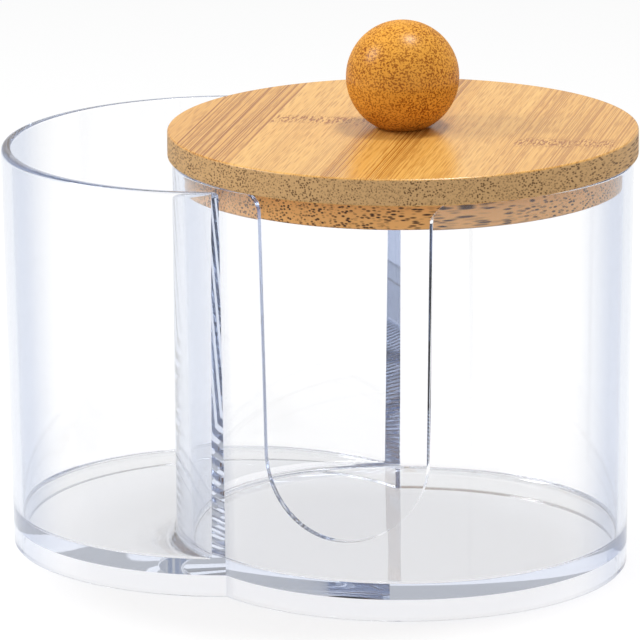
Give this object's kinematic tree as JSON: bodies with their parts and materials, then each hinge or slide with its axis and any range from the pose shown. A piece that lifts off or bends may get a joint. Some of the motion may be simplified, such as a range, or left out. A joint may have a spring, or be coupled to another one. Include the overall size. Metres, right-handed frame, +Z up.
{
  "type": "dual compartment cotton organizer",
  "caption": "Clear moulded organizer with a lidded round jar, a hand slot in its front and an open crescent compartment beside it; bamboo lid with a ball knob.",
  "frame": {"origin": "on the table, under the middle of the whole object's bounding box", "axes": "+X from the open compartment to the jar, +Y to the back, +Z up; the hand slot faces -Y, turned a little towards +X"},
  "size_m": [0.146, 0.104, 0.1228],
  "materials": {
    "clear_body": "clear polished moulding",
    "bamboo_disc": "lacquered bamboo, grain across the lid",
    "bamboo_plug": "lacquered bamboo, grain along the lid",
    "knob_wood": "glossy varnished wood",
    "screw_steel": "zinc-plated steel"
  },
  "bodies": {
    "body": {"organizer_body": "clear_body"},
    "lid": {"lid_disc": "bamboo_disc", "lid_plug": "bamboo_plug", "ball_knob": "knob_wood", "knob_screw": "screw_steel"}
  },
  "joints": [
    {"name": "lid_lift", "type": "slide", "parent": "body", "child": "lid", "axis": [0, 0, 1], "range_m": [0, 0.06]}
  ]
}
